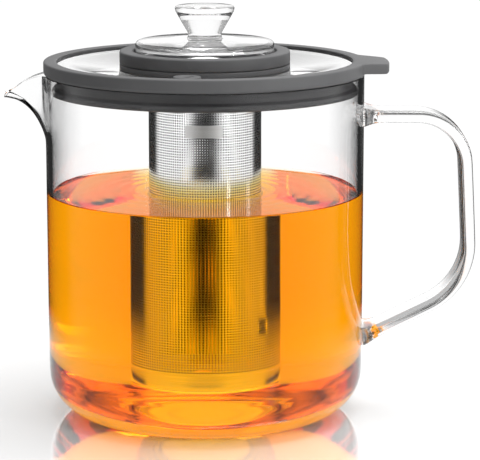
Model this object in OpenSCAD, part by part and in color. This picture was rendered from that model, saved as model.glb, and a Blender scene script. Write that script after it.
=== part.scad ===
// Glass teapot with a lift-out strainer, a silicone-rimmed lid and a small knobbed lid.
// Origin: centre of the flat base, on the axis of the jug. +Z up, handle along +X, spout along -X.

/* [Jug] */
// Outside diameter of the glass cylinder
jug_d = 130; // [128:0.5:132]
// Height of the rim above the table
rim_z = 140.2; // [138:0.2:144]
// Thickness of the glass wall
wall = 2.4; // [2:0.1:2.6]
// Thickness of the glass base
base_t = 3.6; // [3:0.1:5]
// Outside radius of the rounded bottom corner
corner_r = 18; // [14:0.5:20]

/* [Spout] */
// How far the tip of the spout stands out from the wall
spout_reach = 17; // [15:0.5:19]
// Height of the spout's root below the rim
spout_depth = 27; // [24:0.5:30]
// Drop of the spout's tip below the rim
spout_drop = 9.4; // [8:0.2:11]
// Half width of the spout's tip
tip_half_w = 2.2; // [2:0.1:3]
// Thickness of the glass in the spout
spout_wall = 1.9; // [1.6:0.1:2]

/* [Handle] */
// Width of the handle strap, across the loop
strap_w = 17; // [14:0.5:20]
// Thickness of the handle strap, in the plane of the loop
strap_t = 5.2; // [4.5:0.1:6]
// Height of the upper arm's centreline
arm_z = 123.5; // [121:0.5:125]
// Bend radius of the upper corner, on the centreline
upper_bend_r = 20.5; // [19:0.5:22]
// Bend radius of the lower corner, on the centreline
lower_bend_r = 29; // [27:0.5:30]
// Slope of the lower arm, in degrees below level
lower_slope = 27; // [24:1:30]

/* [Lid] */
// Diameter of the silicone rim ring
rim_ring_d = 131.2; // [131:0.2:134]
// Height of the silicone rim ring above the glass
rim_ring_h = 5.5; // [5.2:0.1:6.5]
// Inside diameter of the ring's top lip
top_lip_d = 120.6; // [118:0.2:122]
// Depth of the skirt that reaches into the jug
skirt_h = 7.5; // [6:0.1:10]
// Length of the pull tab beyond the ring
tab_len = 9.6; // [7:0.2:12]
// Width of the pull tab
tab_w = 27; // [22:1:32]
// Thickness of the flat glass plate
plate_t = 2.4; // [2:0.1:2.6]
// Diameter of the hole in the glass plate
plate_hole_d = 56; // [55:0.5:58]
// Outside diameter of the collar and of the strainer's grip ring
collar_d = 69.4; // [68:0.2:71]
// Diameter of the steam vent grommet's head
vent_d = 11; // [9:0.5:12]
// Diameter of the steam hole
vent_hole_d = 3; // [2:0.1:3.5]

/* [Strainer] */
// Outside diameter of the strainer sleeve
sleeve_d = 46.1; // [44:0.1:47]
// Thickness of the strainer's sheet steel
sheet_t = 0.4; // [0.3:0.05:0.5]
// Height of the strainer's bottom above the table
strainer_z = 14.5; // [12:0.5:20]
// Height of the silicone grip ring
grip_h = 5.1; // [4.8:0.1:6]

/* [Small lid] */
// Diameter of the small glass lid
small_lid_d = 56.4; // [55:0.2:57]
// Height of the small glass lid without its knob
small_lid_h = 6.9; // [6.5:0.1:8]
// Height of the glass knob
knob_h = 13.7; // [12:0.1:16]
// Diameter of the knob's flat top
knob_d = 24.5; // [22:0.5:27]
// Diameter of the knob's neck
knob_neck_d = 12.7; // [11:0.1:15]

/* [Hidden] */
$fn = 96;

// Clearance between pieces that lift apart
gap = 0.3;
jug_r = jug_d / 2;
bore_r = jug_r - wall;

// Levels of the lid, from the jug's rim upwards
ring_z0 = rim_z + gap;
ring_z1 = ring_z0 + rim_ring_h;
lip_t = 1.9;
plate_z1 = ring_z1 - lip_t;
plate_z0 = plate_z1 - plate_t;
plate_r = rim_ring_d / 2 - 2.8;
skirt_in_r = bore_r - 4.8;
skirt_out_r = bore_r - 2.4;
seal_r = bore_r - gap;
seal_h = 2.7;

// The collar that lines the plate's hole
collar_r = collar_d / 2;
collar_bore_r = sleeve_d / 2 + 2;
collar_z0 = plate_z0 - 2.7;
collar_z1 = plate_z1 + 0.5;

// The steam vent sits in the plate, half way between the collar and the rim ring
vent_pos = [-6.2, -47.5];
vent_stem_d = 7;
vent_head_t = 1;

// The strainer hangs from a steel shelf that is moulded into the grip ring
shelf_z0 = collar_z1 + 0.2;
shelf_t = 0.6;
shelf_r = 31;
sleeve_r = sleeve_d / 2;
sleeve_bore_r = sleeve_r - sheet_t;
neck_z0 = plate_z0 - 2;
cap_h = 3;
grip_z1 = shelf_z0 + grip_h;
ledge_z = shelf_z0 + 2.6;
ledge_r = sleeve_r + 3;
grip_bore_r = small_lid_d / 2 + 1.1;

// The small lid rests on the ledge inside the grip ring
small_lid_r = small_lid_d / 2;
small_lid_z0 = ledge_z + gap;
small_lid_z1 = small_lid_z0 + small_lid_h;
shoulder_r = 4;
small_wall = 2.3;

// Centres of the handle's two bends
upper_bend = [jug_r + 21.2, arm_z - upper_bend_r];
lower_bend = [jug_r + 14.4, upper_bend.y - 32.4];

glass = [0.85, 0.93, 0.95, 0.35];
silicone = [0.42, 0.42, 0.42];
steel = [0.75, 0.75, 0.77];

// Half section of a round vessel, closed at the bottom, with a rounded lower corner.
module cup_section(r, z0, z1, rc) {
    translate([0, z0])
        square([r - rc, z1 - z0]);
    translate([0, z0 + rc])
        square([r, z1 - z0 - rc]);
    translate([r - rc, z0 + rc])
        circle(rc);
}

// Half section of a plain ring.
module ring_section(r0, r1, z0, z1) {
    translate([r0, z0])
        square([r1 - r0, z1 - z0]);
}

// The spout, as functions of u: 0 at the jug's wall, 1 at the tip.
function spout_half_w(u) = tip_half_w + 9 * pow(1 - max(u, 0), 3) - 18 * min(u, 0);
function spout_top(u) = rim_z - spout_drop * pow(max(u, 0), 1.8);
function spout_floor(u) = rim_z - spout_drop - 0.6
    - (spout_depth - spout_drop) * pow(1 - max(u, 0), 2.45);
function spout_x(u) = -jug_r - spout_reach * u;

// The spout seen from above and the spout seen from the side, cut to one another.
module spout_block(root, inset, top_lift) {
    steps = 8;
    us = [for (k = [0 : steps]) root + (1 - root) * k / steps];
    intersection() {
        translate([0, 0, rim_z - spout_depth - 5])
            linear_extrude(spout_depth + 15)
                polygon(concat(
                    [for (u = us) [spout_x(u), inset - spout_half_w(u)]],
                    [for (k = [steps : -1 : 0]) [spout_x(us[k]), spout_half_w(us[k]) - inset]]
                ));
        translate([0, 20, 0])
            rotate([90, 0, 0])
                linear_extrude(40)
                    polygon(concat(
                        [for (u = us) [spout_x(u), spout_floor(u) + inset]],
                        [for (k = [steps : -1 : 0]) [spout_x(us[k]), spout_top(us[k]) + top_lift]]
                    ));
    }
}

module jug() {
    color(glass)
    difference() {
        union() {
            rotate_extrude()
                cup_section(jug_r, 0, rim_z, corner_r);
            spout_block(-0.18, 0, 0);
        }
        rotate_extrude()
            cup_section(bore_r, base_t, rim_z + 5, corner_r - wall);
        spout_block(-0.28, spout_wall, 8);
    }
}

function arc(centre, r, from, to, steps) =
    [for (k = [0 : steps]) let (a = from + (to - from) * k / steps)
        centre + r * [cos(a), sin(a)]];

// One side of the strap, in the XZ plane, as it runs from the upper weld to the lower one.
function strap_side(shift) =
    let (lean = 3)
    let (foot = lower_bend + (lower_bend_r + shift) * [cos(lower_slope - 90), sin(lower_slope - 90)])
    let (run = foot.x - jug_r + 2)
    concat(
        [[jug_r - 2, arm_z + shift]],
        arc(upper_bend, upper_bend_r + shift, 90, lean, 16),
        arc(lower_bend, lower_bend_r + shift, lean, lower_slope - 90, 16),
        [[foot.x - run, foot.y - run * tan(lower_slope)]]
    );

module handle() {
    outer = strap_side(strap_t / 2);
    inner = strap_side(-strap_t / 2);
    color(glass)
    difference() {
        translate([0, strap_w / 2, 0])
            rotate([90, 0, 0])
                linear_extrude(strap_w)
                    polygon(concat(outer, [for (i = [len(inner) - 1 : -1 : 0]) inner[i]]));
        cylinder(h = rim_z, r = jug_r);
    }
}

module lid_rim() {
    tab_t = 4.1;
    tab_corner = 5;
    color(silicone) {
        rotate_extrude()
            difference() {
                union() {
                    ring_section(top_lip_d / 2, rim_ring_d / 2, ring_z0, ring_z1);
                    ring_section(skirt_in_r, rim_ring_d / 2, ring_z0, plate_z0);
                    ring_section(skirt_in_r, skirt_out_r, ring_z0 - skirt_h, plate_z0);
                    ring_section(skirt_in_r, seal_r, ring_z0 - skirt_h, ring_z0 - skirt_h + seal_h);
                }
                ring_section(skirt_in_r - 1, plate_r, plate_z0, plate_z1);
            }
        translate([0, 0, ring_z1 - tab_t])
            linear_extrude(tab_t)
                difference() {
                    hull() {
                        translate([rim_ring_d / 2 - 6, -tab_w / 2 - 2])
                            square([1, tab_w + 4]);
                        for (s = [-1, 1])
                            translate([rim_ring_d / 2 + tab_len - tab_corner, s * (tab_w / 2 - tab_corner)])
                                circle(tab_corner, $fn = 32);
                    }
                    circle(plate_r + 1);
                }
    }
}

module lid_plate() {
    color(glass)
    difference() {
        rotate_extrude()
            ring_section(plate_hole_d / 2, plate_r, plate_z0, plate_z1);
        translate([vent_pos.x, vent_pos.y, plate_z0 - 1])
            cylinder(h = plate_t + 2, d = vent_stem_d);
    }
}

module lid_collar() {
    color(silicone)
    rotate_extrude()
        difference() {
            ring_section(collar_bore_r, collar_r, collar_z0, collar_z1);
            ring_section(plate_hole_d / 2, collar_r + 1, plate_z0, plate_z1);
        }
}

module vent_grommet() {
    foot_d = vent_stem_d + 2;
    color(silicone)
    translate([vent_pos.x, vent_pos.y, 0])
        rotate_extrude() {
            ring_section(vent_hole_d / 2, vent_stem_d / 2, plate_z0 - vent_head_t, plate_z1 + vent_head_t);
            ring_section(vent_hole_d / 2, vent_d / 2, plate_z1, plate_z1 + vent_head_t);
            ring_section(vent_hole_d / 2, foot_d / 2, plate_z0 - vent_head_t, plate_z0);
        }
}

module infuser_grip_ring() {
    color(silicone)
    rotate_extrude()
        difference() {
            ring_section(ledge_r, collar_r, shelf_z0, grip_z1);
            ring_section(ledge_r - 1, grip_bore_r, ledge_z, grip_z1 + 1);
            ring_section(ledge_r - 1, shelf_r, shelf_z0 - 1, shelf_z0 + shelf_t);
        }
}

module infuser_shelf() {
    color(steel)
    rotate_extrude() {
        ring_section(sleeve_bore_r, shelf_r, shelf_z0, shelf_z0 + shelf_t);
        ring_section(sleeve_bore_r, sleeve_r, neck_z0, shelf_z0 + shelf_t);
    }
}

module infuser_sleeve() {
    color(steel)
    rotate_extrude()
        ring_section(sleeve_bore_r, sleeve_r, strainer_z + cap_h, neck_z0);
}

module infuser_base() {
    cap_corner = 1.5;
    color(steel)
    rotate_extrude()
        difference() {
            cup_section(sleeve_r, strainer_z, strainer_z + cap_h, cap_corner);
            cup_section(sleeve_bore_r, strainer_z + sheet_t, strainer_z + cap_h + 1, cap_corner - sheet_t);
        }
}

// The small lid's outline: a flat-topped dome with rounded shoulders.
module dome_section(r, z0, z1, rs) {
    translate([0, z0])
        square([r, z1 - z0 - rs]);
    translate([0, z0])
        square([r - rs, z1 - z0]);
    translate([r - rs, z1 - rs])
        circle(rs);
}

module inner_lid_glass() {
    color(glass)
    rotate_extrude()
        difference() {
            intersection() {
                dome_section(small_lid_r, small_lid_z0 - shoulder_r, small_lid_z1, shoulder_r);
                ring_section(0, small_lid_r + 1, small_lid_z0, small_lid_z1 + 1);
            }
            intersection() {
                dome_section(small_lid_r - small_wall, small_lid_z0 - shoulder_r, small_lid_z1 - small_wall,
                    shoulder_r - small_wall);
                ring_section(0, small_lid_r, small_lid_z0 - 1, small_lid_z1);
            }
        }
}

module knob() {
    top_z = small_lid_z1 + knob_h;
    color(glass)
    rotate_extrude()
        polygon([
            [0, small_lid_z1],
            [knob_neck_d / 2 + 1, small_lid_z1],
            [knob_neck_d / 2, small_lid_z1 + 1.4],
            [knob_d / 2 - 0.3, top_z - 2.4],
            [knob_d / 2, top_z - 1.2],
            [knob_d / 2 - 0.8, top_z - 0.2],
            [0, top_z]
        ]);
}

jug();
handle();
lid_rim();
lid_plate();
lid_collar();
vent_grommet();
infuser_grip_ring();
infuser_shelf();
infuser_sleeve();
infuser_base();
inner_lid_glass();
knob();
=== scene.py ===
"""Glass teapot with a lift-out strainer: the looks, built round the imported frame."""

import math

import bpy
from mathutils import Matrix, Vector


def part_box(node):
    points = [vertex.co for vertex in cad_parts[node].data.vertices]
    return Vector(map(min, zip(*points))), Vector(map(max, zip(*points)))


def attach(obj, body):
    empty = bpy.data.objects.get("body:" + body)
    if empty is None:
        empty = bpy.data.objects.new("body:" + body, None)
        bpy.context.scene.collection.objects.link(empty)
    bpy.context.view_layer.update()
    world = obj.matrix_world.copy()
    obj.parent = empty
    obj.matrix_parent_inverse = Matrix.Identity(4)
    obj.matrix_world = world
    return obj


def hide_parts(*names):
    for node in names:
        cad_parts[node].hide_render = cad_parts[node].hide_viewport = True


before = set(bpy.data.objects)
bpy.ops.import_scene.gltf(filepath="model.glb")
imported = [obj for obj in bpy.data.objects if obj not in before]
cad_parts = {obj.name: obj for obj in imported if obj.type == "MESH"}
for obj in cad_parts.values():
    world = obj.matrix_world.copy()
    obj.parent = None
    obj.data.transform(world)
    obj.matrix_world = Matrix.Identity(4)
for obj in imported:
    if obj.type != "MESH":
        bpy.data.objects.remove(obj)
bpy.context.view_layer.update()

MM = 0.001
TURN = 2 * math.pi


# ---------------------------------------------------------------- sizes, in millimetres

def box_mm(node):
    """A CAD node's lowest and highest corners, in millimetres."""
    low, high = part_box(node)
    return [v / MM for v in low], [v / MM for v in high]


jug_low, jug_high = box_mm("jug")
rim_low, rim_high = box_mm("lid_rim")
plate_low, plate_high = box_mm("lid_plate")
collar_low, collar_high = box_mm("lid_collar")
vent_low, vent_high = box_mm("vent_grommet")
grip_low, grip_high = box_mm("infuser_grip_ring")
shelf_low, shelf_high = box_mm("infuser_shelf")
sleeve_low, sleeve_high = box_mm("infuser_sleeve")
base_low, base_high = box_mm("infuser_base")
lid_low, lid_high = box_mm("inner_lid_glass")
knob_low, knob_high = box_mm("knob")
strap_low, strap_high = box_mm("handle")

jug_r = jug_high[0]
rim_z = jug_high[2]
wall = 2.4                              # thickness of the blown glass
bore_r = jug_r - wall
corner_r = 18.0                         # rounding between the jug's wall and base
spout_reach = -jug_low[0] - jug_r
spout_depth = 27.0                      # from the rim down to where the spout starts
tea_z = 91.8                            # level of the tea
sleeve_r = sleeve_high[0]
sheet = 0.4                             # thickness of the strainer's steel
plate_hole_r = 28.0                     # hole in the lid's glass, lined by the collar
vent_stem_r = 3.5                       # and the small one that holds the vent
dish = 1.5                              # how much lower the lid's glass is at the collar
rise = 0.8                              # how much higher it is at the ring


# ---------------------------------------------------------------- small tools

def edit(name):
    """Names the new primitive and opens it in edit mode."""
    piece = bpy.context.object
    piece.name = name
    piece.data.name = name
    bpy.ops.object.mode_set(mode="EDIT")
    bpy.ops.mesh.select_mode(type="VERT")
    return piece


def add_modifier(piece, kind, **settings):
    """Adds a modifier with its settings and applies it."""
    bpy.context.view_layer.objects.active = piece
    modifier = piece.modifiers.new(kind.title(), kind)
    for key, value in settings.items():
        setattr(modifier, key, value)
    bpy.ops.object.modifier_apply(modifier=modifier.name)


def close_up(piece, merge=0.002):
    """Merges doubled vertices and turns every face outwards."""
    bpy.context.view_layer.objects.active = piece
    bpy.ops.object.mode_set(mode="EDIT")
    bpy.ops.mesh.select_all(action="SELECT")
    bpy.ops.mesh.remove_doubles(threshold=merge * MM)
    bpy.ops.mesh.normals_make_consistent(inside=False)
    bpy.ops.object.mode_set(mode="OBJECT")


def settle(piece, body, node, material, smooth=35, inside=None):
    """Bakes the piece's place into its mesh, shades it, fills its material slots, ties it to its
    body and hides its CAD node.
    """
    bpy.ops.object.select_all(action="DESELECT")
    piece.select_set(True)
    bpy.context.view_layer.objects.active = piece
    bpy.ops.object.transform_apply(location=True, rotation=True, scale=True)
    bpy.ops.object.shade_smooth_by_angle(angle=math.radians(smooth))
    for place, finish in enumerate([material, inside] if inside else [material]):
        if place < len(piece.data.materials):
            piece.data.materials[place] = finish
        else:
            piece.data.materials.append(finish)
    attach(piece, body)
    if node:
        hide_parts(node)
    bpy.ops.object.select_all(action="DESELECT")
    return piece


def fillet(corners, steps=5):
    """An outline in which each corner (radius, height, fillet) is rounded by its own fillet."""
    points = []
    last = len(corners) - 1
    for i, corner in enumerate(corners):
        r, z = corner[:2]
        bend = corner[2] if len(corner) > 2 else 0
        if not bend:
            points.append((r, z))
            continue
        before = corners[i - 1] if i else corners[last]
        after = corners[i + 1] if i < last else corners[0]
        a = math.atan2(before[1] - z, before[0] - r)
        b = math.atan2(after[1] - z, after[0] - r)
        opening = (b - a + math.pi) % TURN - math.pi
        reach = bend / math.tan(abs(opening) / 2)
        middle = a + opening / 2
        away = bend / math.sin(abs(opening) / 2)
        cr, cz = r + away * math.cos(middle), z + away * math.sin(middle)
        start = math.atan2(z + reach * math.sin(a) - cz, r + reach * math.cos(a) - cr)
        sweep = -math.copysign(math.pi - abs(opening), opening)
        for k in range(steps + 1):
            t = start + sweep * k / steps
            points.append((cr + bend * math.cos(t), cz + bend * math.sin(t)))
    return points


def lathe(name, outline, steps=160, ring=True):
    """Spins an outline of (radius, height) points round the Z axis; a ring's is closed first."""
    bpy.ops.object.select_all(action="DESELECT")
    bpy.ops.mesh.primitive_plane_add(size=MM)
    piece = edit(name)
    bpy.ops.mesh.merge(type="CENTER")
    bpy.ops.transform.translate(value=(outline[0][0] * MM, 0, outline[0][1] * MM))
    for (r0, z0), (r1, z1) in zip(outline, outline[1:]):
        move = ((r1 - r0) * MM, 0, (z1 - z0) * MM)
        bpy.ops.mesh.extrude_vertices_move(TRANSFORM_OT_translate={"value": move})
    if ring:
        first, last = 0, len(outline) - 1
        bpy.ops.object.mode_set(mode="OBJECT")
        for v in piece.data.vertices:
            v.select = v.index in (first, last)
        bpy.ops.object.mode_set(mode="EDIT")
        bpy.ops.mesh.edge_face_add()
    bpy.ops.mesh.select_all(action="SELECT")
    bpy.ops.mesh.spin(steps=steps, angle=TURN, center=(0, 0, 0), axis=(0, 0, 1))
    bpy.ops.object.mode_set(mode="OBJECT")
    close_up(piece)
    return piece


def crowd(piece, strength, towards):
    """Draws a lathed piece's columns together on one side, where it needs finer mesh."""
    on_axis = 1e-7
    for v in piece.data.vertices:
        r = math.hypot(v.co.x, v.co.y)
        if r > on_axis:
            a = math.atan2(v.co.y, v.co.x) - towards
            a = (a + math.pi) % TURN - math.pi
            a = a - strength * math.sin(a) + towards
            v.co.x, v.co.y = r * math.cos(a), r * math.sin(a)


# ---------------------------------------------------------------- materials

def colour(code):
    """An sRGB hex value as linear red, green, blue and alpha."""
    parts = [int(code[i:i + 2], 16) / 255 for i in (1, 3, 5)]
    return [c / 12.92 if c <= 0.04045 else ((c + 0.055) / 1.055) ** 2.4 for c in parts] + [1]


def node(tree, kind, inputs=None, **settings):
    """Adds a shader node with its settings; each input takes a value or another node's socket."""
    made = tree.nodes.new(kind)
    for key, value in settings.items():
        setattr(made, key, value)
    for key, value in (inputs or {}).items():
        if isinstance(value, bpy.types.NodeSocket):
            tree.links.new(value, made.inputs[key])
        else:
            made.inputs[key].default_value = value
    return made


def new_material(name):
    """An empty node material, with its output."""
    material = bpy.data.materials.new(name)
    material.use_nodes = True
    tree = material.node_tree
    tree.nodes.clear()
    return material, tree, tree.nodes.new("ShaderNodeOutputMaterial")


def fill_ramp(ramp, stops):
    """Sets a colour ramp's stops, each a position and a hex colour or a grey level."""
    for i, (position, tone) in enumerate(stops):
        stop = ramp.color_ramp.elements[i] if i < 2 else ramp.color_ramp.elements.new(position)
        stop.position = position
        stop.color = colour(tone) if isinstance(tone, str) else (tone, tone, tone, 1)


def blown_glass(name, wave_mm, wave_depth, outline=1.0):
    # Borosilicate glass, blown and fire-polished: perfectly smooth, with slow waves from the flame
    # that make its reflections swim. Where the eye grazes it, its colour is painted grey down to
    # near black, a painted shade that draws its own outline: outline says how strongly.
    material, tree, output = new_material(name)
    place = node(tree, "ShaderNodeTexCoord")
    waves = node(tree, "ShaderNodeTexNoise", {
        "Vector": place.outputs["Object"], "Scale": 1000 / wave_mm, "Detail": 1.0, "Roughness": 0.4})
    bump = node(tree, "ShaderNodeBump",
                {"Height": waves.outputs["Fac"], "Strength": 0.5, "Distance": wave_depth * MM})
    # Painted shade: the colour runs from white to near black as the surface turns away from the eye.
    graze = node(tree, "ShaderNodeLayerWeight", {"Blend": 0.5})
    painted_edge_shade = node(tree, "ShaderNodeValToRGB", {"Fac": graze.outputs["Facing"]})
    fill_ramp(painted_edge_shade, [(at, tone ** outline) for at, tone in (
        (0.38, 1.0), (0.55, 0.88), (0.7, 0.6), (0.82, 0.32), (0.94, 0.08), (1.0, 0.04))])
    shader = node(tree, "ShaderNodeBsdfPrincipled", {
        "Base Color": painted_edge_shade.outputs["Color"],
        "Roughness": 0.0,
        "IOR": 1.473,
        "Transmission Weight": 1.0,
        "Specular Tint": colour("#909090"),
        "Normal": bump.outputs["Normal"],
    })
    tree.links.new(shader.outputs["BSDF"], output.inputs["Surface"])
    return material


def moulded_silicone(name):
    # Silicone rubber from a fine-blasted mould: even mid grey, no shine, with faint clouds and an
    # orange-peel skin.
    material, tree, output = new_material(name)
    place = node(tree, "ShaderNodeTexCoord")
    clouds = node(tree, "ShaderNodeTexNoise",
                  {"Vector": place.outputs["Object"], "Scale": 1000 / 14, "Detail": 3.0})
    tone = node(tree, "ShaderNodeValToRGB", {"Fac": clouds.outputs["Fac"]})
    fill_ramp(tone, [(0.3, "#505051"), (0.75, "#585859")])
    skin = node(tree, "ShaderNodeTexNoise",
                {"Vector": place.outputs["Object"], "Scale": 1000 / 0.8, "Detail": 2.0})
    bump = node(tree, "ShaderNodeBump",
                {"Height": skin.outputs["Fac"], "Strength": 0.25, "Distance": 0.05 * MM})
    rough = node(tree, "ShaderNodeMapRange",
                 {"Value": clouds.outputs["Fac"], "To Min": 0.5, "To Max": 0.62})
    shader = node(tree, "ShaderNodeBsdfPrincipled", {
        "Base Color": tone.outputs["Color"],
        "Roughness": rough.outputs["Result"],
        "IOR": 1.42,
        "Normal": bump.outputs["Normal"],
    })
    tree.links.new(shader.outputs["BSDF"], output.inputs["Surface"])
    return material


def rolled_steel(name, dark, light, smoothest, roughest):
    # 18/8 stainless steel sheet, rolled: a mirror softened by fine rolling lines that run round it.
    # The lines are about 0.4 mm high and 17 mm long, coarser than real ones, so that they show.
    material, tree, output = new_material(name)
    place = node(tree, "ShaderNodeTexCoord")
    stretch = node(tree, "ShaderNodeMapping",
                   {"Vector": place.outputs["Object"], "Scale": (60, 60, 2500)})
    lines = node(tree, "ShaderNodeTexNoise",
                 {"Vector": stretch.outputs["Vector"], "Scale": 1.0, "Detail": 4.0})
    tone = node(tree, "ShaderNodeValToRGB", {"Fac": lines.outputs["Fac"]})
    fill_ramp(tone, [(0.3, dark), (0.7, light)])
    rough = node(tree, "ShaderNodeMapRange",
                 {"Value": lines.outputs["Fac"], "To Min": smoothest, "To Max": roughest})
    bump = node(tree, "ShaderNodeBump",
                {"Height": lines.outputs["Fac"], "Strength": 0.08, "Distance": 0.02 * MM})
    shader = node(tree, "ShaderNodeBsdfPrincipled", {
        "Base Color": tone.outputs["Color"],
        "Metallic": 1.0,
        "Roughness": rough.outputs["Result"],
        "Normal": bump.outputs["Normal"],
    })
    tree.links.new(shader.outputs["BSDF"], output.inputs["Surface"])
    return material


def brewed_tea(name):
    # Black tea, freshly brewed: clear amber water that takes out the blue first and then the green,
    # so it is gold where it is thin and deep orange where it is thick.
    material, tree, output = new_material(name)
    place = node(tree, "ShaderNodeTexCoord")
    tremble = node(tree, "ShaderNodeTexNoise",
                   {"Vector": place.outputs["Object"], "Scale": 1000 / 9, "Detail": 1.0})
    bump = node(tree, "ShaderNodeBump",
                {"Height": tremble.outputs["Fac"], "Strength": 0.15, "Distance": 0.05 * MM})
    shader = node(tree, "ShaderNodeBsdfPrincipled", {
        "Base Color": colour("#FFFFFF"),
        "Roughness": 0.0,
        "IOR": 1.333,
        "Transmission Weight": 1.0,
        "Specular Tint": colour("#A06010"),
        "Normal": bump.outputs["Normal"],
    })
    depth = node(tree, "ShaderNodeVolumeAbsorption",
                 {"Color": (1.0, 0.865, 0.0, 1), "Density": 76.0})
    tree.links.new(shader.outputs["BSDF"], output.inputs["Surface"])
    tree.links.new(depth.outputs["Volume"], output.inputs["Volume"])
    return material


jug_glass = blown_glass("borosilicate_jug", 28, 0.2, outline=0.42)
drawn_glass = blown_glass("borosilicate_drawn", 9, 0.04, outline=0.5)
pressed_glass = blown_glass("borosilicate_pressed", 14, 0.06)
plate_glass = blown_glass("borosilicate_plate", 20, 0.04, outline=0.05)
silicone = moulded_silicone("grey_silicone")
steel = rolled_steel("stainless_sheet", "#E4E4E4", "#F2F2F2", 0.1, 0.17)
# The inside of the sheet and the walls of its holes are near black: painted shade, on a rougher
# finish.
shaded_inside_steel = rolled_steel("stainless_inside_painted_shade", "#2A2A2B", "#363637", 0.4, 0.55)
satin_steel = rolled_steel("stainless_satin", "#DCDCDC", "#E8E8E8", 0.36, 0.46)
tea = brewed_tea("amber_tea")


# ---------------------------------------------------------------- jug

def base_profile(inset):
    """The jug's base from the axis to the wall: the outer skin, moved into the glass by inset."""
    return fillet([
        (0, 1.6 + inset),
        (20, 1.4 + inset, 30 + inset),
        (31, inset, 12 - inset),
        (jug_r - inset, inset, corner_r - inset),
        (jug_r - inset, 30),
    ], steps=9)


def pull_spout(piece):
    """Draws the soft glass out and down into a beak, on the -X side, from the spout's root up."""
    root_z = rim_z - spout_depth
    tip_drop = 9.7
    throat, beak = 0.62, 0.38
    tip_half, root_extra = 4.9, 5.5
    for v in piece.data.vertices:
        z = v.co.z / MM
        y = v.co.y / MM
        if v.co.x > 0 or z <= root_z:
            continue
        # t runs from the root (0) to the lip (1); the throat swells at once, the beak near the lip.
        t = min((z - root_z) / spout_depth, 1)
        out = spout_reach * (throat * t * t / (t + 0.05) * 1.05 + beak * t ** 3.5)
        drop = spout_depth * t - (spout_depth - tip_drop) * (1 - (1 - t) ** 1.55)
        pull = math.exp(-(y / (tip_half + root_extra * (1 - t))) ** 2)
        v.co.x -= out * pull * MM
        v.co.z -= drop * pull ** 1.8 * MM


def build_jug():
    """One skin from base to rim, with close rows where the spout is drawn out, then thickened."""
    row = 1.5
    heights = [30, 50, 70, 90, 104, 110]
    heights += [rim_z - spout_depth + row * k for k in range(18)] + [rim_z]
    outline = base_profile(0)[:-1] + [(jug_r, z) for z in heights]
    piece = lathe("jug_glass", outline, steps=144, ring=False)
    crowd(piece, 0.65, math.pi)
    pull_spout(piece)
    add_modifier(piece, "SOLIDIFY", thickness=wall * MM, offset=-1, use_even_offset=True)
    add_modifier(piece, "BEVEL", width=0.9 * MM, segments=3, limit_method="ANGLE",
                 angle_limit=math.radians(60))
    add_modifier(piece, "SUBSURF", levels=1, render_levels=1)
    return settle(piece, "pot", "jug", jug_glass, smooth=60)


# ---------------------------------------------------------------- handle

def strap_path():
    """Places (x, z, heading) along the handle's centreline, from the upper weld to the lower one."""
    arm_z = 123.5
    lean = math.radians(3)
    upper_r, lower_r = 20.5, 29.0
    upper = (jug_r + 21.2, arm_z - upper_r)
    lower = (jug_r + 14.4, upper[1] - 32.4)
    slope = math.radians(26)
    start_x = jug_r - 1.5
    path = [(start_x + d, arm_z, 0.0) for d in (0, 1.5, 3.0, 4.5, 6.0, 8.0, 11.0, 15.0)]
    bends = ((upper, upper_r, math.pi / 2, lean), (lower, lower_r, lean, slope - math.pi / 2))
    for (cx, cz), r, first, last in bends:
        for k in range(15):
            a = first + (last - first) * k / 14
            path.append((cx + r * math.cos(a), cz + r * math.sin(a), a - math.pi / 2))
    x, z, heading = path[-1]
    # The last stretch, in shortening steps, levels out as it meets the wall.
    stops = [8, 6, 4, 3, 2.5, 2, 1.6, 1.5, 1.5, 1.5]
    level_from = 0.72
    run_x = x - start_x
    total = sum(stops)
    done = 0.0
    for step in stops:
        length = step / total * run_x
        done += step / total
        ease = max(0.0, (done - level_from) / (1 - level_from))
        heading = -math.pi + slope * (1 - ease * ease)
        x -= length
        z -= length * math.tan(heading + math.pi)
        path.append((x, z, heading))
    return path


def build_handle():
    """A flat strap with rounded edges, drawn along its path and fatter at both welds."""
    width = strap_high[1] - strap_low[1]
    thick, edge_r = 5.2, 2.3
    weld_extra, weld_mm = 0.55, 4.2
    path = strap_path()
    bpy.ops.object.select_all(action="DESELECT")
    x, z, heading = path[0]
    bpy.ops.mesh.primitive_plane_add(size=1, location=(x * MM, 0, z * MM),
                                     rotation=(0, math.pi / 2, 0))
    piece = edit("handle_glass")
    bpy.ops.transform.resize(value=(1, width * MM, thick * MM))
    bpy.ops.mesh.bevel(affect="VERTICES", offset=edge_r * MM, segments=5)
    bpy.ops.mesh.select_all(action="SELECT")

    def swell(i):
        """How much fatter the strap is where it was welded on."""
        ends = min(math.dist(path[i][:2], path[0][:2]), math.dist(path[i][:2], path[-1][:2]))
        return 1 + weld_extra * math.exp(-(ends / weld_mm) ** 2)

    size = swell(0)
    bpy.ops.transform.resize(value=(1, size, size))
    for i in range(1, len(path)):
        x1, z1, heading1 = path[i]
        bpy.ops.mesh.extrude_region_move(
            TRANSFORM_OT_translate={"value": ((x1 - x) * MM, 0, (z1 - z) * MM)})
        centre = (x1 * MM, 0, z1 * MM)
        turn = heading1 - heading
        if abs(turn) > 1e-6:
            bpy.ops.transform.rotate(value=turn, orient_axis="Y", center_override=centre)
        grow = swell(i) / size
        bpy.ops.transform.resize(value=(grow, grow, grow), center_override=centre)
        x, z, heading, size = x1, z1, heading1, swell(i)
    bpy.ops.object.mode_set(mode="OBJECT")
    close_up(piece)
    add_modifier(piece, "SUBSURF", levels=2, render_levels=2)
    return settle(piece, "pot", "handle", drawn_glass, smooth=60)


# ---------------------------------------------------------------- lid

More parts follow.
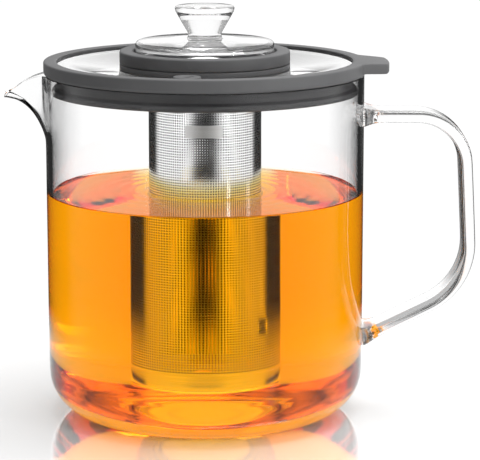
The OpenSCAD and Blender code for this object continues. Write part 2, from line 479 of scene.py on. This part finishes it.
def pull_tab(piece, under_z):
    """Draws the upper part of the ring's outer wall out into the tab, on the +X side."""
    reach, sag = 9.4, 0.5
    root_half, tip_half = 17.0, 10.5
    for v in piece.data.vertices:
        x, y, z = (c / MM for c in v.co)
        if x < 0 or z < under_z - 0.02 or math.hypot(x, y) < rim_high[1] - 1.2:
            continue
        t = (root_half - abs(y)) / (root_half - tip_half)
        t = min(max(t, 0), 1)
        ease = t * t * (3 - 2 * t)
        chamfer = 0.94 if z < under_z + 0.3 else 1.0
        v.co.x += reach * ease * chamfer * MM
        v.co.z -= sag * ease * MM


def build_rim():
    """The moulded ring: a lip over the plate, a flange on the jug's rim and a skirt with a seal."""
    outer = rim_high[1]
    top, bottom = rim_high[2], rim_low[2]
    lip = 60.3
    flange = rim_z + 0.3
    skirt_in, skirt_out, seal = bore_r - 4.8, bore_r - 2.4, bore_r - 0.3
    groove = plate_high[0]
    tab_thick = 4.1
    under = top - tab_thick
    outline = fillet([
        (groove, plate_high[2] + rise),
        (lip, plate_high[2] + rise),
        (lip, top - 0.2, 0.15),
        (lip + 0.9, top, 0.5),
        (outer, top, 0.8),
        (outer, under + 0.6),
        (outer, under),
        (outer, under - 0.05),
        (outer, flange, 1.3),
        (skirt_out, flange, 0.4),
        (skirt_out, bottom + 3.1, 0.6),
        (seal, bottom + 2.5, 0.7),
        (seal, bottom, 1.1),
        (skirt_in, bottom, 0.6),
        (skirt_in, plate_low[2] + rise),
        (groove, plate_low[2] + rise),
    ], steps=4)
    piece = lathe("lid_rim_silicone", outline, steps=192)
    crowd(piece, 0.6, 0)
    pull_tab(piece, under)
    return settle(piece, "lid", "lid_rim", silicone, smooth=40)


def build_plate():
    """The lid's glass: a shallow dish, higher at the ring than at the collar."""
    z0, z1 = plate_low[2], plate_high[2]
    slope_in, slope_out, bend = 36, 55, 40
    outline = fillet([
        (plate_hole_r, z0 - dish, 0.3),
        (slope_in, z0 - dish, bend),
        (slope_out, z0 + rise, bend),
        (plate_high[0], z0 + rise, 0.3),
        (plate_high[0], z1 + rise, 0.3),
        (slope_out, z1 + rise, bend),
        (slope_in, z1 - dish, bend),
        (plate_hole_r, z1 - dish, 0.3),
    ], steps=5)
    piece = lathe("lid_plate_glass", outline)
    x, y = (vent_low[0] + vent_high[0]) / 2, (vent_low[1] + vent_high[1]) / 2
    bpy.ops.mesh.primitive_cylinder_add(vertices=48, radius=vent_stem_r * MM, depth=8 * MM,
                                        location=(x * MM, y * MM, z0 * MM))
    drill = bpy.context.object
    add_modifier(piece, "BOOLEAN", operation="DIFFERENCE", solver="EXACT", object=drill)
    bpy.data.objects.remove(drill)
    return settle(piece, "lid", "lid_plate", plate_glass)


def build_collar():
    """The ring that grips the edge of the plate's hole and guides the strainer."""
    bore, outer, hole = sleeve_r + 2, collar_high[0], plate_hole_r
    outline = fillet([
        (bore, collar_low[2], 0.5),
        (outer, collar_low[2], 0.5),
        (outer, plate_low[2] - dish, 0.2),
        (hole, plate_low[2] - dish),
        (hole, plate_high[2] - dish),
        (outer, plate_high[2] - dish, 0.15),
        (outer, collar_high[2], 0.25),
        (bore, collar_high[2], 0.4),
    ], steps=4)
    piece = lathe("lid_collar_silicone", outline)
    return settle(piece, "lid", "lid_collar", silicone)


def build_vent():
    """The grommet that lets the steam out, with a shallow hollow round its hole."""
    head_r, stem_r, foot_r, bore = (vent_high[0] - vent_low[0]) / 2, vent_stem_r, 4.5, 1.7
    low, high = vent_low[2], vent_high[2]
    outline = fillet([
        (bore, low, 0.2),
        (foot_r, low, 0.4),
        (foot_r, plate_low[2]),
        (stem_r, plate_low[2]),
        (stem_r, plate_high[2]),
        (head_r, plate_high[2]),
        (head_r, high, 0.4),
        (bore + 1.1, high, 0.3),
        (bore + 0.7, high - 0.35, 0.2),
        (bore, high - 0.35, 0.15),
    ], steps=3)
    piece = lathe("vent_grommet_silicone", outline, steps=64)
    centre = ((vent_low[0] + vent_high[0]) / 2 * MM, (vent_low[1] + vent_high[1]) / 2 * MM, 0)
    piece.location = centre
    return settle(piece, "lid", "vent_grommet", silicone)


# ---------------------------------------------------------------- strainer

def build_grip_ring():
    """The ring that the strainer is lifted by, with a well for the small lid."""
    outer, top, bottom = grip_high[0], grip_high[2], grip_low[2]
    well, ledge_r, ledge_z = lid_high[0] + 1.1, sleeve_r + 3, bottom + 2.6
    shelf_top, shelf_r = shelf_high[2], shelf_high[0]
    outline = fillet([
        (shelf_r, bottom),
        (outer, bottom, 0.5),
        (outer, top, 0.7),
        (well, top, 0.5),
        (well, ledge_z, 0.4),
        (ledge_r, ledge_z, 0.5),
        (ledge_r, shelf_top),
        (shelf_r, shelf_top),
    ], steps=4)
    piece = lathe("grip_ring_silicone", outline)
    return settle(piece, "strainer", "infuser_grip_ring", silicone)


def build_shelf():
    """The steel flange, and its short neck, that the grip ring is moulded on."""
    inner = sleeve_r - sheet
    thick = 0.6
    outline = fillet([
        (inner, shelf_low[2]),
        (sleeve_r, shelf_low[2]),
        (sleeve_r, shelf_high[2] - thick, 0.2),
        (shelf_high[0], shelf_high[2] - thick, 0.1),
        (shelf_high[0], shelf_high[2], 0.1),
        (inner, shelf_high[2], 0.5),
    ], steps=3)
    piece = lathe("strainer_shelf_steel", outline)
    return settle(piece, "strainer", "infuser_shelf", steel)


# The real holes are about 0.84 mm apart; they are drawn coarser, so that they don't blur away.
pitch = 1.05
hole_r = 0.37
holes_round = round(TURN * sleeve_r / pitch)
hole_rows = 36
band_count = 3
plain_low = 5.0                         # the plain strip below the holes


def build_perforated_band(index):
    """A third of the etched sheet: a cell with its hole, repeated, rolled up and thickened."""
    across = TURN * sleeve_r / holes_round
    z0 = sleeve_low[2] + plain_low + index * hole_rows * pitch
    bpy.ops.object.select_all(action="DESELECT")
    bpy.ops.mesh.primitive_plane_add(size=1)
    piece = edit(f"strainer_mesh_{index + 1}")
    bpy.ops.transform.resize(value=(across * MM, pitch * MM, 1))
    bpy.ops.mesh.delete(type="ONLY_FACE")
    bpy.ops.mesh.primitive_circle_add(vertices=6, radius=hole_r * MM)
    bpy.ops.mesh.select_all(action="SELECT")
    bpy.ops.mesh.bridge_edge_loops()
    bpy.ops.object.mode_set(mode="OBJECT")
    for count, offset in ((holes_round, (across * MM, 0, 0)), (hole_rows, (0, pitch * MM, 0))):
        add_modifier(piece, "ARRAY", count=count, use_relative_offset=False,
                     use_constant_offset=True, constant_offset_displace=offset,
                     use_merge_vertices=True, merge_threshold=0.01 * MM)
    r, up = sleeve_r * MM, (z0 + pitch / 2) * MM
    for v in piece.data.vertices:
        a = v.co.x / r
        v.co = (r * math.cos(a), r * math.sin(a), v.co.y + up)
    close_up(piece, merge=0.01)
    piece.data.materials.append(steel)
    piece.data.materials.append(shaded_inside_steel)
    # The inner face and the walls of the holes take the second slot, the steel painted dark as
    # shade.
    add_modifier(piece, "SOLIDIFY", thickness=sheet * MM, offset=-1,
                 material_offset=1, material_offset_rim=1)
    return piece


def build_sleeve():
    """The perforated bands, one above the other, between two plain ones."""
    inner = sleeve_r - sheet
    mesh_z0 = sleeve_low[2] + plain_low
    mesh_z1 = mesh_z0 + band_count * hole_rows * pitch
    for index in range(band_count):
        settle(build_perforated_band(index), "strainer", "infuser_sleeve", steel,
               inside=shaded_inside_steel)
    for name, z0, z1 in (("strainer_band_low", sleeve_low[2], mesh_z0),
                         ("strainer_band_high", mesh_z1, sleeve_high[2])):
        ring = lathe(name, [(inner, z0), (sleeve_r, z0), (sleeve_r, z1), (inner, z1)])
        settle(ring, "strainer", "infuser_sleeve", steel)


def build_blank_plate():
    """The small plain plate on the front of the sheet, rolled to the sleeve's curve."""
    wide, tall, mid_z = 15.4, 5.0, 119.7
    bpy.ops.object.select_all(action="DESELECT")
    bpy.ops.mesh.primitive_plane_add(size=1)
    piece = edit("strainer_blank_plate")
    bpy.ops.transform.resize(value=(wide * MM, tall * MM, 1))
    bpy.ops.mesh.bevel(affect="VERTICES", offset=0.35 * MM, segments=3)
    for step in range(-7, 8):
        bpy.ops.mesh.select_all(action="SELECT")
        bpy.ops.mesh.bisect(plane_co=(step * MM, 0, 0), plane_no=(1, 0, 0))
    bpy.ops.object.mode_set(mode="OBJECT")
    r = sleeve_r + 0.22
    for v in piece.data.vertices:
        a = v.co.x / (r * MM) - math.pi / 2
        v.co = (r * MM * math.cos(a), r * MM * math.sin(a), v.co.y + mid_z * MM)
    close_up(piece)
    add_modifier(piece, "SOLIDIFY", thickness=0.24 * MM, offset=-1)
    return settle(piece, "strainer", "infuser_sleeve", satin_steel)


def build_strainer_base():
    """The pressed cap that closes the sleeve."""
    inner, low, high = sleeve_r - sheet, base_low[2], base_high[2]
    outline = fillet([
        (0, low),
        (sleeve_r, low, 1.5),
        (sleeve_r, high),
        (inner, high),
        (inner, low + sheet, 1.1),
        (0, low + sheet),
    ], steps=5)
    piece = lathe("strainer_base_steel", outline, ring=False)
    return settle(piece, "strainer", "infuser_base", steel)


# ---------------------------------------------------------------- small lid

def build_small_lid():
    """A flat-topped glass dome, hollow underneath."""
    outer, low, high = lid_high[0], lid_low[2], lid_high[2]
    thick = 2.3
    outline = fillet([
        (0, high),
        (outer * 0.5, high - 0.1, 30),
        (outer, high - 0.9, 1.7),
        (outer, low, 0.9),
        (outer - thick, low, 0.9),
        (outer - thick, high - thick - 0.9, 1.2),
        (0, high - thick),
    ], steps=8)
    piece = lathe("small_lid_glass", outline, ring=False)
    return settle(piece, "small_lid", "inner_lid_glass", plate_glass)


def build_knob():
    """A solid flared knob, melted a little way into the small lid."""
    low, high, top_r, neck_r = knob_low[2], knob_high[2], knob_high[0], 6.35
    melted = 0.3
    outline = fillet([
        (0, low - melted),
        (neck_r + 1.2, low - melted),
        (neck_r, low + 1.4, 2.5),
        (top_r - 0.4, high - 2.6, 1.5),
        (top_r, high - 0.5, 0.9),
        (top_r * 0.6, high - 0.1, 8),
        (0, high),
    ], steps=6)
    piece = lathe("knob_glass", outline, ring=False)
    return settle(piece, "small_lid", "knob", pressed_glass)


# ---------------------------------------------------------------- tea

def build_tea():
    """The tea, a little into the glass so that no air film shows, with rings round the strainer."""
    overlap = 0.15
    ripple, ripple_mm, fade_mm, row = 0.08, 6.5, 18, 0.65
    # It climbs the glass and the steel in a small meniscus.
    surface = [(bore_r + overlap, tea_z + 0.9), (bore_r - 0.2, tea_z + 0.65),
               (bore_r - 0.9, tea_z + 0.28), (bore_r - 1.9, tea_z + 0.07)]
    r = bore_r - 3
    while r > sleeve_r + 1.5:
        away = r - sleeve_r
        wave = math.exp(-away / fade_mm) * math.cos(away * TURN / ripple_mm)
        surface.append((r, tea_z + ripple * wave))
        r -= row
    surface += [(sleeve_r + 0.5, tea_z + 0.3), (sleeve_r - 0.2, tea_z + 0.5),
                (sleeve_r - 1.5, tea_z + 0.1), (10, tea_z), (0, tea_z)]
    outline = base_profile(wall - overlap) + surface
    piece = lathe("tea_fill", outline, ring=False)
    return settle(piece, "pot", None, tea, smooth=60)


build_jug()
build_handle()
build_rim()
build_plate()
build_collar()
build_vent()
build_grip_ring()
build_shelf()
build_sleeve()
build_blank_plate()
build_strainer_base()
build_small_lid()
build_knob()
build_tea()


# ---------------------------------------------------------------- studio

def build_floor():
    """A disc just under the pot, in metres, that fades out before its edge."""
    radius, fade_from, fade_to = 0.24, 0.13, 0.23
    bpy.ops.mesh.primitive_circle_add(vertices=96, radius=radius, fill_type="NGON",
                                      location=(0, 0, -0.0002))
    ground = bpy.context.object
    ground.name = "floor"
    # White acrylic sheet, polished: pale and even, with a soft reflection of what stands on it. It
    # fades out into the white of the studio. Seen through the glass it glows white like a lit panel:
    # painted light.
    material, tree, output = new_material("white_acrylic_painted_glow")
    path = node(tree, "ShaderNodeLightPath")
    within = node(tree, "ShaderNodeMath", {0: path.outputs["Transmission Depth"], 1: 0.5},
                  operation="GREATER_THAN")
    matt = node(tree, "ShaderNodeBsdfPrincipled",
                {"Base Color": colour("#FCFCFC"), "Roughness": 0.6})
    mirror = node(tree, "ShaderNodeBsdfPrincipled",
                  {"Base Color": colour("#FFFFFF"), "Metallic": 1.0, "Roughness": 0.06})
    # Painted light: seen through the glass, the floor glows white though it is no lamp.
    painted_glow = node(tree, "ShaderNodeEmission", {"Color": colour("#FFFFFF"), "Strength": 1.15})
    polish = node(tree, "ShaderNodeMixShader",
                  {0: 0.5, 1: matt.outputs["BSDF"], 2: mirror.outputs["BSDF"]})
    polish_or_painted_glow = node(tree, "ShaderNodeMixShader", {
        0: within.outputs["Value"], 1: polish.outputs["Shader"], 2: painted_glow.outputs["Emission"]})
    place = node(tree, "ShaderNodeTexCoord")
    far = node(tree, "ShaderNodeVectorMath", {0: place.outputs["Object"]}, operation="LENGTH")
    fade = node(tree, "ShaderNodeMapRange",
                {"Value": far.outputs["Value"], "From Min": fade_from, "From Max": fade_to},
                interpolation_type="SMOOTHSTEP")
    clear = node(tree, "ShaderNodeBsdfTransparent")
    mix = node(tree, "ShaderNodeMixShader",
               {0: fade.outputs["Result"], 1: polish_or_painted_glow.outputs["Shader"], 2: clear.outputs["BSDF"]})
    tree.links.new(mix.outputs["Shader"], output.inputs["Surface"])
    ground.data.materials.append(material)


def build_world():
    """A white studio, in which mirrored light meets black card, side lights and a bright ceiling."""
    world = bpy.data.worlds.new("studio")
    bpy.context.scene.world = world
    world.use_nodes = True
    tree = world.node_tree
    tree.nodes.clear()
    output = tree.nodes.new("ShaderNodeOutputWorld")
    place = node(tree, "ShaderNodeTexCoord")
    split = node(tree, "ShaderNodeSeparateXYZ", {"Vector": place.outputs["Generated"]})
    path = node(tree, "ShaderNodeLightPath")

    # The white walls, a little darker on the left.
    left = node(tree, "ShaderNodeMapRange", {
        "Value": split.outputs["X"], "From Min": -0.9, "From Max": 0.2,
        "To Min": 0.3, "To Max": 1.0})
    spread = node(tree, "ShaderNodeMath", {0: path.outputs["Diffuse Depth"], 1: 0.5},
                  operation="GREATER_THAN")
    deep = node(tree, "ShaderNodeMath", {0: path.outputs["Transmission Depth"], 1: 0.5},
                operation="GREATER_THAN")
    inner = node(tree, "ShaderNodeMath", {0: deep.outputs["Value"], 1: spread.outputs["Value"]},
                 operation="SUBTRACT", use_clamp=True)
    walls = node(tree, "ShaderNodeMix",
                 {0: inner.outputs["Value"], 2: left.outputs["Result"], 3: 1.0})

    # Rings of card and light for what is mirrored inside the glass, by degrees from straight behind
    # (0) to straight in front (180): light behind, black card, bright sides, black card in front.
    off_axis = node(tree, "ShaderNodeMath", {0: split.outputs["Y"]}, operation="ARCCOSINE")
    turn = node(tree, "ShaderNodeMapRange",
                {"Value": off_axis.outputs["Value"], "From Max": math.pi})
    rings = node(tree, "ShaderNodeValToRGB", {"Fac": turn.outputs["Result"]})
    rings.color_ramp.interpolation = "EASE"
    fill_ramp(rings, [(degrees / 180, level) for degrees, level in (
        (0, 0.7), (8, 0.6), (16, 0.03), (55, 0.02),
        (74, 1.2), (138, 1.25), (166, 0.06), (180, 0.04))])
    bounced = node(tree, "ShaderNodeMath", {0: path.outputs["Glossy Depth"], 1: 0.5},
                   operation="GREATER_THAN")
    mirrored = node(tree, "ShaderNodeMath", {0: inner.outputs["Value"], 1: bounced.outputs["Value"]},
                    operation="MULTIPLY")
    rising = node(tree, "ShaderNodeMapRange",
                  {"Value": split.outputs["Z"], "From Min": -0.04, "From Max": 0.06})
    # What comes up out of the tea sees a bright ceiling; what only bounced off it sees a dim one.
    ceiling = node(tree, "ShaderNodeMapRange", {
        "Value": path.outputs["Transmission Depth"], "From Min": 4.5, "From Max": 5.5,
        "To Min": 0.5, "To Max": 1.7})
    upward = node(tree, "ShaderNodeMix", {
        0: rising.outputs["Result"], 2: rings.outputs["Color"], 3: ceiling.outputs["Result"]})
    ringed = node(tree, "ShaderNodeMix",
                  {0: mirrored.outputs["Value"], 2: walls.outputs[0], 3: upward.outputs[0]})

    # Upright glass mirrors black card straight off its outside, and a bright ceiling off its tops.
    first = node(tree, "ShaderNodeMath",
                 {0: path.outputs["Is Singular Ray"], 1: deep.outputs["Value"]},
                 operation="SUBTRACT", use_clamp=True)
    card = node(tree, "ShaderNodeMapRange", {
        "Value": split.outputs["Z"], "From Min": -0.02, "From Max": 0.12,
        "To Min": 0.02, "To Max": 1.75})
    carded = node(tree, "ShaderNodeMix",
                  {0: first.outputs["Value"], 2: ringed.outputs[0], 3: card.outputs["Result"]})

    seen = node(tree, "ShaderNodeMix",
                {0: path.outputs["Is Camera Ray"], 2: carded.outputs[0], 3: 1.0})
    light = node(tree, "ShaderNodeBackground", {"Color": seen.outputs[0], "Strength": 1.03})
    tree.links.new(light.outputs["Background"], output.inputs["Surface"])


def add_softbox(name, place, aim, size, power):
    """A rectangular lamp turned to face the point it aims at, in metres and watts."""
    lamp = bpy.data.lights.new(name, "AREA")
    lamp.shape = "RECTANGLE"
    lamp.size, lamp.size_y = size
    lamp.energy = power
    box = bpy.data.objects.new(name, lamp)
    bpy.context.collection.objects.link(box)
    box.location = place
    away = box.location - Vector(aim)
    box.rotation_euler = away.to_track_quat("Z", "Y").to_euler()


def build_camera():
    """A long lens in front of the pot, looking a little down."""
    look_down = 11.24
    lens = bpy.data.cameras.new("camera")
    lens.sensor_width = 36
    lens.lens = 170.7
    eye = bpy.data.objects.new("camera", lens)
    bpy.context.collection.objects.link(eye)
    eye.location = (0.01431, -0.9219, 0.2584)
    eye.rotation_euler = (math.radians(90 - look_down), 0, 0)
    bpy.context.scene.camera = eye


build_floor()
build_world()
add_softbox("top_softbox", (0.15, 0.1, 0.9), (0, 0, 0.1), (0.7, 0.7), 7)
add_softbox("side_softbox", (0.7, -0.62, 0.24), (0, 0, 0.1), (0.05, 0.42), 2.5)
build_camera()

# Clear glass needs many bounces: a ray crosses the jug, the tea and the strainer's holes.
scene = bpy.context.scene
scene.view_settings.view_transform = "Standard"
scene.cycles.max_bounces = 32
scene.cycles.transmission_bounces = 28
scene.cycles.glossy_bounces = 10
scene.cycles.diffuse_bounces = 4
scene.cycles.transparent_max_bounces = 16
scene.cycles.sample_clamp_indirect = 6
